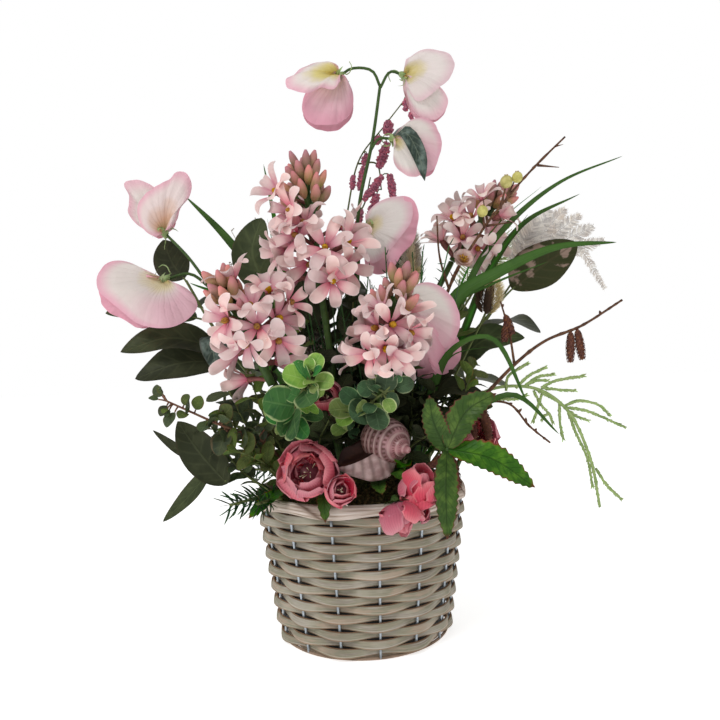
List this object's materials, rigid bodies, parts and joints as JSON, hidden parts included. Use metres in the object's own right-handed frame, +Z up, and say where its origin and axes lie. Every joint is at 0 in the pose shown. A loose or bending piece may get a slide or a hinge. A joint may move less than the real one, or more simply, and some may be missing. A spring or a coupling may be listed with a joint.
{
  "type": "flower basket arrangement",
  "caption": "Round woven basket filled with artificial flowers, leaves, twigs and a sea shell, for standing on a flat surface.",
  "frame": {"origin": "middle of the flat underside of the base board, where the basket stands", "axes": "+Z up, +Y away from the viewer of the picture, +X to the right in the picture"},
  "size_m": [0.478, 0.2531, 0.5142],
  "materials": {
    "board": "plain light wood",
    "wire": "galvanised wire",
    "willow": "whitewashed flat willow strip",
    "rim": "whitewashed border",
    "liner": "dark plastic liner",
    "foam": "dry flower foam, light",
    "moss": "dark dried moss",
    "stem": "green coated stem",
    "star_petal": "thin cloth petals, pale pink",
    "pea_petal": "thin cloth petals, blush",
    "coral_petal": "thin cloth petals, coral",
    "shell": "smooth mauve shell",
    "twig": "brown bark",
    "grey_leaf": "thin cloth leaf, grey green",
    "eucalyptus_leaf": "thin cloth leaf, edged in cream",
    "serrated_leaf": "thin cloth leaf",
    "grass": "thin cloth blade",
    "bunny_tail": "soft hairs",
    "amaranth": "flocked beads",
    "statice": "dried flower paper",
    "pale_green": "feathery green",
    "plume_white": "feathery white",
    "needle": "dark needles",
    "dark_leaf": "thin cloth leaf, dark green"
  },
  "bodies": {
    "root": {"amaranth_spray": "amaranth", "base_board": "board", "bunny_tail_1": "bunny_tail", "bunny_tail_2": "bunny_tail", "draping_spray": "pale_green", "eucalyptus_back": "eucalyptus_leaf", "eucalyptus_grey_left": "grey_leaf", "eucalyptus_variegated_left": "eucalyptus_leaf", "eucalyptus_variegated_right": "eucalyptus_leaf", "foam_block": "foam", "grass_front": "grass", "grass_left": "grass", "grass_right": "grass", "hazel_twig": "twig", "leaf_branch_back_left": "dark_leaf", "leaf_branch_back_right": "dark_leaf", "leaf_branch_centre": "dark_leaf", "leaf_branch_left": "dark_leaf", "leaf_branch_low_left": "dark_leaf", "leaf_branch_right": "dark_leaf", "liner": "liner", "moss_mound": "moss", "needle_sprig_low_back": "needle", "needle_sprig_low_left": "needle", "plume_green": "pale_green", "plume_white": "plume_white", "ranunculus_1": "coral_petal", "ranunculus_2": "coral_petal", "ranunculus_3": "coral_petal", "ranunculus_4": "coral_petal", "ranunculus_5": "coral_petal", "ranunculus_6": "coral_petal", "rim_border": "rim", "sea_shell": "shell", "serrated_sprig_back": "serrated_leaf", "serrated_sprig_right": "serrated_leaf", "star_head_1": "star_petal", "star_head_2": "star_petal", "star_head_3": "star_petal", "star_head_4": "star_petal", "star_stem_1": "stem", "star_stem_2": "stem", "star_stem_3": "stem", "star_stem_4": "stem", "statice_cluster": "statice", "sweet_pea_1": "pea_petal", "sweet_pea_2": "pea_petal", "sweet_pea_3": "pea_petal", "sweet_pea_4": "pea_petal", "sweet_pea_5": "pea_petal", "sweet_pea_6": "pea_petal", "sweet_pea_7": "pea_petal", "sweet_pea_stem_left": "stem", "sweet_pea_stem_middle": "stem", "sweet_pea_stem_right": "stem", "sweet_pea_stem_top": "stem", "thorny_twig": "twig", "willow_weave": "willow", "wire_frame": "wire"}
  },
  "joints": []
}
